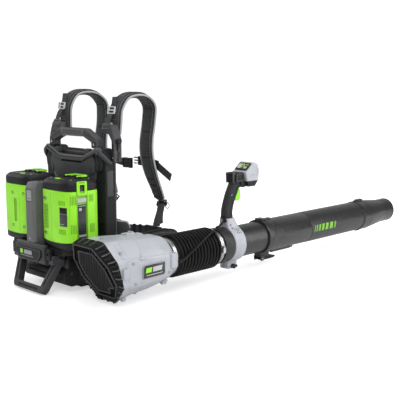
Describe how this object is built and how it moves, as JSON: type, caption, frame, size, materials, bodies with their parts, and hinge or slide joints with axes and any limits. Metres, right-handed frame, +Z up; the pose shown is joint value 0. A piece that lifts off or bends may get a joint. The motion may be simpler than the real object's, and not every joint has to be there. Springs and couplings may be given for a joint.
{
  "type": "backpack leaf blower",
  "caption": "Battery backpack leaf blower: padded harness and frame, twin slide-in batteries, tilting axial fan, bellows hose, swivelling tube with control grip, telescopic tube and nozzle.",
  "frame": {"origin": "in the middle of the flat underside of the base housing, on the backpack's centre plane (mount ground_rest)", "axes": "+X towards the wearer's right (the air line's side), +Y the way the wearer faces and the tube points, +Z up"},
  "size_m": [0.5392, 1.4903, 0.5779],
  "materials": {
    "graphite_plastic": "fine moulded texture, dark grey",
    "grey_plastic": "fine moulded texture, mid grey",
    "black_plastic": "moulded black",
    "black_gloss": "gloss black inlay",
    "black_rubber": "satin black rubber",
    "grip_rubber": "soft textured grip",
    "lime_plastic": "semi-gloss lime green",
    "silver_plastic": "metallic silver-grey moulding",
    "button_grey": "light grey",
    "tube_plastic": "satin dark grey tube",
    "pad_fabric": "padded woven polyester and spacer mesh",
    "webbing": "woven polyester tape",
    "steel": "brushed",
    "aluminium": "satin",
    "board": "green circuit board",
    "cell_wrap": "shrink wrap"
  },
  "bodies": {
    "frame": {"frame_shell": "graphite_plastic", "back_plate": "grey_plastic", "carry_handle": "graphite_plastic", "base_housing": "graphite_plastic", "foot_loop": "graphite_plastic", "name_plate": "black_gloss", "battery_tray": "black_plastic", "terminal_block": "black_plastic", "battery_pillar": "grey_plastic", "control_board": "board", "pivot_boot": "black_rubber", "back_pad": "pad_fabric", "shoulder_strap_left": "pad_fabric", "shoulder_strap_right": "pad_fabric", "strap_anchor_left": "graphite_plastic", "strap_anchor_right": "graphite_plastic", "lower_webbing_left": "webbing", "lower_webbing_right": "webbing", "waist_belt_left": "pad_fabric", "waist_belt_right": "pad_fabric", "belt_buckle_female": "black_plastic", "belt_buckle_male": "black_plastic", "sternum_webbing": "webbing", "sternum_buckle_female": "black_plastic", "sternum_buckle_male": "black_plastic"},
    "battery_left": {"battery_left_case": "lime_plastic", "battery_left_cap": "black_plastic", "battery_left_cells": "cell_wrap"},
    "battery_right": {"battery_right_case": "lime_plastic", "battery_right_cap": "black_plastic", "battery_right_cells": "cell_wrap"},
    "bail_left": {"battery_left_bail": "lime_plastic"},
    "bail_right": {"battery_right_bail": "lime_plastic"},
    "latch_left": {"battery_left_latch": "lime_plastic"},
    "latch_right": {"battery_right_latch": "lime_plastic"},
    "fan_unit": {"fan_housing": "silver_plastic", "intake_grille": "black_plastic", "motor_mount": "black_plastic", "motor_can": "aluminium", "pivot_shaft": "steel", "side_plate": "black_gloss", "rear_hose_clamp": "steel", "bellows_hose": "black_rubber", "control_cable": "black_rubber"},
    "impeller": {"impeller": "black_plastic", "motor_shaft": "steel"},
    "hose_end": {"front_hose_clamp": "steel", "swivel_collar": "black_plastic"},
    "tube": {"inner_tube": "tube_plastic"},
    "handle": {"handle_clamp": "silver_plastic", "grip_shell": "grip_rubber", "control_head": "silver_plastic", "display_panel": "black_gloss"},
    "wing_knob": {"wing_knob": "black_plastic"},
    "trigger": {"trigger": "lime_plastic"},
    "cruise_lever": {"cruise_lever": "black_plastic"},
    "power_button": {"power_button": "button_grey"},
    "outer_tube": {"outer_tube": "tube_plastic"},
    "lock_lever": {"tube_lock_lever": "black_plastic"},
    "nozzle": {"nozzle": "tube_plastic"}
  },
  "joints": [
    {"name": "battery_left_slide", "type": "slide", "parent": "frame", "child": "battery_left", "axis": [0, 0, 1], "range_m": [0, 0.2]},
    {"name": "battery_right_slide", "type": "slide", "parent": "frame", "child": "battery_right", "axis": [0, 0, 1], "range_m": [0, 0.2]},
    {"name": "bail_left_hinge", "type": "hinge", "parent": "battery_left", "child": "bail_left", "pos_m": [-0.1, -0.067, 0.3252], "axis": [1, 0, 0], "range_deg": [0, 100]},
    {"name": "bail_right_hinge", "type": "hinge", "parent": "battery_right", "child": "bail_right", "pos_m": [0.1, -0.067, 0.3252], "axis": [1, 0, 0], "range_deg": [0, 100]},
    {"name": "latch_left_hinge", "type": "hinge", "parent": "battery_left", "child": "latch_left", "pos_m": [-0.1752, -0.065, 0.2795], "axis": [0, -1, 0], "range_deg": [0, 15]},
    {"name": "latch_right_hinge", "type": "hinge", "parent": "battery_right", "child": "latch_right", "pos_m": [0.1752, -0.089, 0.2795], "axis": [0, 1, 0], "range_deg": [0, 15]},
    {"name": "fan_tilt", "type": "hinge", "parent": "frame", "child": "fan_unit", "pos_m": [0.1875, -0.035, 0.074], "axis": [1, 0, 0], "range_deg": [-10, 25]},
    {"name": "impeller_spin", "type": "hinge", "parent": "fan_unit", "child": "impeller", "pos_m": [0.275, -0.0325, 0.0885], "axis": [0, 1, 0], "continuous": true},
    {"name": "hose_bend", "type": "hinge", "parent": "fan_unit", "child": "hose_end", "pos_m": [0.275, 0.217, 0.0885], "axis": [0, 0, 1], "range_deg": [-30, 20], "deforming": ["bellows_hose", "control_cable"]},
    {"name": "tube_swivel", "type": "hinge", "parent": "hose_end", "child": "tube", "pos_m": [0.275, 0.328, 0.0885], "axis": [0, 1, 0], "range_deg": [-45, 45]},
    {"name": "handle_slide", "type": "slide", "parent": "tube", "child": "handle", "axis": [0, 1, 0], "range_m": [0, 0.045]},
    {"name": "wing_knob_turn", "type": "hinge", "parent": "handle", "child": "wing_knob", "pos_m": [0.293, 0.397, 0.018], "axis": [1, 0, 0], "continuous": true},
    {"name": "trigger_pull", "type": "hinge", "parent": "handle", "child": "trigger", "pos_m": [0.275, 0.43, 0.2555], "axis": [-1, 0, 0], "range_deg": [0, 12]},
    {"name": "cruise_turn", "type": "hinge", "parent": "handle", "child": "cruise_lever", "pos_m": [0.275, 0.4025, 0.2865], "axis": [1, 0, 0], "range_deg": [0, 40]},
    {"name": "power_press", "type": "slide", "parent": "handle", "child": "power_button", "axis": [0, 0.6187, -0.7857], "range_m": [0, 0.0009]},
    {"name": "tube_extend", "type": "slide", "parent": "tube", "child": "outer_tube", "axis": [0, 1, 0], "range_m": [-0.03, 0.09]},
    {"name": "tube_lock", "type": "hinge", "parent": "outer_tube", "child": "lock_lever", "pos_m": [0.275, 0.546, 0.015], "axis": [-1, 0, 0], "range_deg": [0, 55]},
    {"name": "nozzle_twist", "type": "hinge", "parent": "outer_tube", "child": "nozzle", "pos_m": [0.275, 1.097, 0.0885], "axis": [0, 1, 0], "range_deg": [0, 30]}
  ]
}
